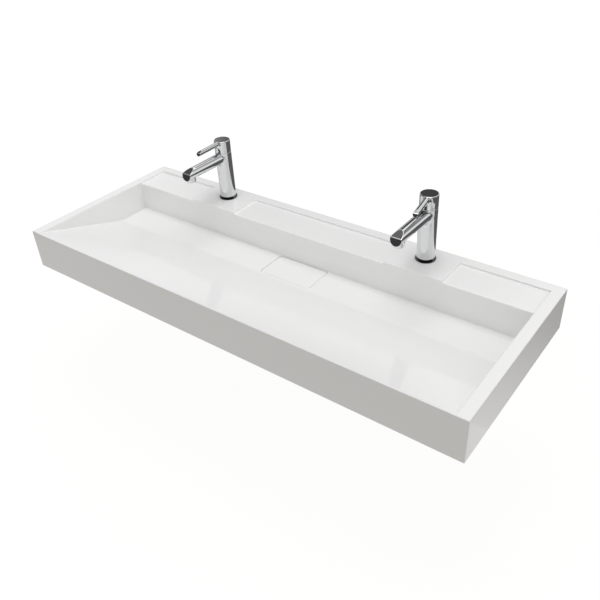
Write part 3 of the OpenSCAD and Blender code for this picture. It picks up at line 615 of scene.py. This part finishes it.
# ---------------------------------------------------------------- The waste
# Below the cover, a flange of brushed steel with a ring of holes is drawn down on its seal by
# one screw, which pulls up the chromed tail with its own seal under the basin.
steel = Finish("brushed_steel", (0.56, 0.57, 0.58), 0.3, Metallic=1.0)
brushing = steel.noise(420.0, 4.0, 0.6, (1.0, 1.0, 14.0))
steel.tint(brushing, (0.50, 0.51, 0.52), (0.62, 0.63, 0.64))
steel.set("Roughness", 0.22 + 0.22 * brushing)
steel.bump(brushing, 0.00005, 0.3)

# Chrome: nickel and chrome on polished brass, close to a mirror, with a trace of hard-water film.
chrome = Finish("chrome", (0.75, 0.755, 0.765), 0.04, Metallic=1.0)
film = chrome.noise(55.0, 5.0, 0.6)
chrome.tint(film, (0.72, 0.725, 0.74), (0.775, 0.78, 0.785))
chrome.set("Roughness", 0.025 + 0.05 * film ** 2.0)

dress(steel.material, "waste_flange", "waste_screw")
dress(rubber.material, "waste_top_seal", "waste_low_seal")
dress(chrome.material, "waste_tail")


# ---------------------------------------------------------------- The taps: foot and fixing
# Each tap stands on a rubber seal, inside a chrome ring that hides it. Under the shelf, an open
# rubber washer and an open steel one are drawn up by a brass nut on a single steel stud.
brass = Finish("brass", (0.72, 0.55, 0.28), 0.3, Metallic=1.0)
turning = brass.noise(300.0, 4.0, 0.6, (1.0, 1.0, 6.0))
brass.tint(turning, (0.62, 0.46, 0.22), (0.78, 0.61, 0.33))
brass.set("Roughness", 0.22 + 0.2 * turning)

# Name, side and rest angle of each tap. Profiles are radius and height in millimetres.
TAPS = (("left", -1, 2.0), ("right", 1, 10.0))


def at_tap(points, side, degrees=0.0):
    """Moves points drawn in millimetres about a tap's axis to that tap, turned by so many degrees."""
    x, y, z = np.asarray(points, float).reshape(-1, 3).T * 0.001
    c, s = math.cos(math.radians(degrees)), math.sin(math.radians(degrees))
    return np.column_stack([side * TAP_X + c * x - s * y, TAP_Y + s * x + c * y, RIM + z])


def turned(profile, n=160, shift_y=0.0):
    """A turned piece: a profile of radius and height, carried once round the axis; a profile that ends on itself
    makes a ring, and any other is closed with one face at either end."""
    profile = np.asarray(profile, float)
    ring = np.allclose(profile[0], profile[-1])
    rows = profile[:-1] if ring else profile
    turn = np.arange(n) * 2 * math.pi / n
    x, y = rows[:, :1] * np.cos(turn), rows[:, :1] * np.sin(turn) + shift_y
    points = np.stack([x, y, rows[:, 1:] + 0 * x], axis=-1).reshape(-1, 3)
    last = (len(rows) - 1) * n
    faces = [tuple(f) for f in faces_of(len(rows), n, closed=True)]
    if ring:
        faces += [(last + k, last + (k + 1) % n, (k + 1) % n, k) for k in range(n)]
    else:
        faces += [tuple(range(n))[::-1], tuple(range(last, last + n))]
    return points, faces


def together(*shells):
    """One list of points and faces from several."""
    points, faces, start = [], [], 0
    for p, f in shells:
        points.append(np.asarray(p))
        faces += [tuple(int(k) + start for k in face) for face in f]
        start += len(p)
    return np.concatenate(points), faces


def bend(middle, r, first, last, n):
    """Points of an arc in radius and height, from one angle to another in degrees."""
    turn = np.radians(np.linspace(first, last, n))
    return [(middle[0] + r * math.cos(a), middle[1] + r * math.sin(a)) for a in turn]


# The ring's chrome has a dark base colour, a painted dark reflection, so that it reads as a black line under the
# bright body.
chrome_painted_dark = Finish("chrome_painted_dark", (0.10, 0.10, 0.105), 0.06, Metallic=1.0)
haze = chrome_painted_dark.noise(90.0, 4.0, 0.6)
chrome_painted_dark.tint(haze, (0.085, 0.085, 0.09), (0.115, 0.115, 0.12))
chrome_painted_dark.set("Roughness", 0.04 + 0.06 * haze)
ring_profile = [(21.05, 1.5), (23.7, 1.5), (24.0, 1.8), (24.0, 2.1)]
ring_profile += bend((-1.96, -8.39), 28.0, 22, 34, 8) + [(21.05, 7.3), (21.05, 1.5)]
for name, side, _ in TAPS:
    ring_points, ring_faces = turned(ring_profile)
    ring = make_piece(name + "_foot_ring", at_tap(ring_points, side), ring_faces, chrome_painted_dark.material)
    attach(ring, "root")
    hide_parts(name + "_base_ring")
    dress(rubber.material, name + "_base_seal", name + "_rubber_washer")
    dress(steel.material, name + "_stud", name + "_clamp_plate")
    dress(brass.material, name + "_stud_nut")


# ---------------------------------------------------------------- The taps: body and spout
# One brass casting, ground, polished and chromed: an upright body that narrows a little, and a
# round spout that swells into it below and ends in a slanting face.
BODY_R, SPOUT_H, SPOUT_ROOT, SPOUT_TIP, SPOUT_REACH = 20.6, 114.0, 14.5, 13.8, 141.0
SLANT_L, SLANT_DROP, SLANT_LEAN = 26.0 / SPOUT_TIP, 9.0 / SPOUT_TIP, 3.5 / SPOUT_TIP
EVEN = 28.0 / SPOUT_TIP


def tip_reach(z, r, reach, soft):
    """How far a bar's tip reaches at a height z: an end that leans back, a slanting face, and a parabola between."""
    edge, lean = r * (1 - SLANT_DROP), SLANT_LEAN / (2 - SLANT_DROP)
    rise = (SLANT_L - SLANT_LEAN) / SLANT_DROP
    over = np.clip((z - edge + soft) / (2 * soft), 0, 1)
    bent = np.where(z > edge + soft, z - edge, soft * over ** 2)
    return reach - lean * (z + r) - (rise - lean) * bent


def branch(host, height, root, tip, reach, swell, soft, n=160, across=12):
    """A bar that grows out of an upright round host towards -Y. Round the bar's axis, each line starts on the host,
    sunk a hair into it, turns through a quarter circle of the given swell onto the bar, runs along it and turns over
    the rim of its tip, whose face is filled with level rows."""
    turn = np.arange(n) * 2 * math.pi / n
    up, side = np.cos(turn), np.sin(turn)
    swollen, sunk = swell(up), 0.004
    rim = tip_reach(tip * up, tip, reach, soft) - soft
    rings = []
    for a in np.linspace(0, math.pi / 2, 14):
        radius = root + inset(swollen, a)
        rings.append((radius, np.sqrt(np.maximum(host ** 2 - (radius * side) ** 2, 0.0)) + drop(swollen, a) - sunk))
    start = rings[-1][1]
    narrow = reach - EVEN * tip
    for share in np.linspace(0, 1, 14)[1:]:
        y = start + (rim - start) * share
        rings.append((root + (tip - root) * np.clip((y - start) / (narrow - start), 0, 1), y))
    for a in np.linspace(0, math.pi / 2, 6)[1:]:
        radius = tip - drop(soft, a) + 0 * up
        rings.append((radius, tip_reach(radius * up, tip, reach, soft) - inset(soft, a)))
    points = [np.column_stack([radius * side, -y, height + radius * up]) for radius, y in rings]

    ring, half_n = (len(rings) - 1) * n, n // 2
    inner = np.linspace(1, -1, across + 1)[None, 1:-1] * ((tip - soft) * side)[1:half_n, None]
    level = ((tip - soft) * up)[1:half_n, None] + 0 * inner
    points.append(np.stack([inner, -tip_reach(level, tip, reach, soft), height + level], axis=-1).reshape(-1, 3))
    k = np.arange(1, half_n)
    rows = np.column_stack([ring + k, (ring + n + np.arange(inner.size)).reshape(inner.shape), ring + n - k])
    face = np.stack([rows[:-1, :-1], rows[:-1, 1:], rows[1:, 1:], rows[1:, :-1]], axis=-1).reshape(-1, 4)
    fans = [(b, a, ring) for a, b in zip(rows[0, :-1], rows[0, 1:])]
    fans += [(a, b, ring + half_n) for a, b in zip(rows[-1, :-1], rows[-1, 1:])]
    faces = [tuple(q[::-1]) for q in faces_of(len(rings), n, closed=True)] + [tuple(q) for q in face] + fans
    return np.concatenate(points), faces + [tuple(range(n))]


body_profile = [(21.0, 1.5), (21.0, 11.5), (20.85, 48.0), (20.7, 80.0), (BODY_R, 99.5), (BODY_R, 128.6),
                (20.2, 129.0), (17.6, 129.0), (17.6, 88.0)]
AERATOR_Y = -124.0
boss_profile = [(11.05, 105.2), (11.05, 96.65), (11.6, 96.65)] + bend((11.6, 97.25), 0.6, -90, 0, 4)
boss_profile += [(12.2, 110.0), (11.05, 110.0), (11.05, 105.2)]
shell_profile = [(9.0, 93.4), (9.2, 93.15), (10.6, 93.15), (11.0, 93.55), (11.0, 105.0), (9.0, 105.0), (9.0, 93.4)]
# The holes in the body's foot, in metres: place from the axis, radius and depth.
HOSE_X, HOSE_Y, HOSE_R, HOSE_DEEP = 0.0065, -0.005, 0.0045, 0.0135
STUD_Y, STUD_R, STUD_DEEP = 0.012, 0.00405, 0.0155
plastic = Finish("white_plastic", (0.78, 0.78, 0.76), 0.35)
grain = plastic.noise(600.0, 3.0)
plastic.tint(grain, (0.74, 0.74, 0.72), (0.81, 0.81, 0.79))
plastic.set("Roughness", 0.3 + 0.15 * grain)

for name, side, _ in TAPS:
    trunk_points, trunk_faces = turned(body_profile, 256)
    foot_holes = [prism(circle(side * TAP_X + end * HOSE_X, TAP_Y + HOSE_Y, HOSE_R, 40), RIM, RIM + HOSE_DEEP)
                  for end in (-1, 1)]
    foot_holes.append(prism(circle(side * TAP_X, TAP_Y + STUD_Y, STUD_R, 40), RIM, RIM + STUD_DEEP))
    trunk = make_piece(name + "_trunk", at_tap(trunk_points, side), trunk_faces, chrome.material, foot_holes)
    spout_points, spout_faces = together(
        branch(BODY_R, SPOUT_H, SPOUT_ROOT, SPOUT_TIP, SPOUT_REACH, lambda up: 4.6 - 4.4 * up, 1.0),
        turned(boss_profile, 96, AERATOR_Y))
    spout = make_piece(name + "_spout", at_tap(spout_points, side), spout_faces, chrome.material)
    shell_points, shell_faces = turned(shell_profile, 96, AERATOR_Y)
    shell = make_piece(name + "_aerator", at_tap(shell_points, side), shell_faces, chrome.material)
    for piece, node in ((trunk, name + "_tap_body"), (spout, name + "_tap_body"), (shell, name + "_aerator_shell")):
        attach(piece, "root")
        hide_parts(node)
    dress(plastic.material, name + "_aerator_insert")


# ---------------------------------------------------------------- The taps: cartridge and bell
# A plastic cartridge with ceramic discs sits in the body under a brass nut. Over the nut, a
# chromed bell shows as a bright ball when the handle is lifted.
BELL_R, BELL_HOLE_R, PIVOT = 18.9, 15.0, 135.0
bell_low, bell_high = math.degrees(math.asin(-5.9 / BELL_R)), math.degrees(math.acos(BELL_HOLE_R / BELL_R))
bell_profile = [(BELL_HOLE_R, 128.2), (17.4, 128.2), (17.4, 129.1)]
bell_profile += bend((0.0, PIVOT), BELL_R, bell_low, bell_high, 16) + [(BELL_HOLE_R, 145.0), (BELL_HOLE_R, 128.2)]
for name, side, _ in TAPS:
    bell_points, bell_faces = turned(bell_profile)
    bell = make_piece(name + "_ball_cover", at_tap(bell_points, side), bell_faces, chrome.material)
    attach(bell, "root")
    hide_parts(name + "_bell")
    dress(plastic.material, name + "_cartridge", name + "_carrier")
    dress(brass.material, name + "_cartridge_nut")
    dress(steel.material, name + "_lift_pin", name + "_spindle")


# ---------------------------------------------------------------- The taps: handle
# A chromed zinc cap with a round lever, clamped on the cartridge's square spindle by a grub screw
# behind a grey plug. Its lower back edge is cut away so that it can tip.
CAP_R, CAP_FOOT, CAP_TOP, CAP_ROUND, ROOF_H = 20.6, 129.6, 161.0, 1.8, 154.9
LEVER_H, LEVER_R, LEVER_REACH = 154.85, 6.0, 92.0
LIFT, CUT_DOWN, FOOT_TOP = math.radians(25.0), 5.7, 131.0
cap_profile = [(19.2, ROOF_H), (19.2, CAP_FOOT), (20.3, CAP_FOOT), (CAP_R, CAP_FOOT + 0.3), (CAP_R, 145.0)]
cap_profile += bend((CAP_R - CAP_ROUND, CAP_TOP - CAP_ROUND), CAP_ROUND, 0, 90, 9) + [(6.0, CAP_TOP)]
boss_inside = [(7.0, 147.0), (7.0, ROOF_H + 0.5)]
grey_plastic = Finish("grey_plastic", (0.40, 0.41, 0.43), 0.3)
cloud = grey_plastic.noise(500.0, 3.0)
grey_plastic.tint(cloud, (0.37, 0.38, 0.40), (0.44, 0.45, 0.47))
grey_plastic.set("Roughness", 0.25 + 0.12 * cloud)


def tipped_foot(points):
    """Lifts the cap's lower back edge onto the slanting cut: height PIVOT - CUT_DOWN / cos + y tan of the lift."""
    cut = PIVOT - CUT_DOWN / math.cos(LIFT) + np.maximum(points[:, 1], 0.0) * math.tan(LIFT)
    lowest = np.where(points[:, 1] > 0, cut, 0.0)
    points[:, 2] = np.where(points[:, 2] < FOOT_TOP, np.maximum(points[:, 2], lowest), points[:, 2])
    return points


for name, side, degrees in TAPS:
    cap_points, cap_faces = turned(cap_profile, 256)
    handle_points, handle_faces = together(
        (tipped_foot(cap_points), cap_faces),
        turned(boss_inside, 64),
        branch(CAP_R, LEVER_H, LEVER_R, LEVER_R, LEVER_REACH,
               lambda up: 0.15 + 1.775 * (1 - up) + 2.075 * (1 - up) ** 2, 0.6, 96, 8))
    handle = make_piece(name + "_lever_handle", at_tap(handle_points, side, degrees), handle_faces, chrome.material)
    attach(handle, name + "_lever")
    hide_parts(name + "_handle")
    dress(grey_plastic.material, name + "_handle_plug")
    dress(steel.material, name + "_grub_screw")
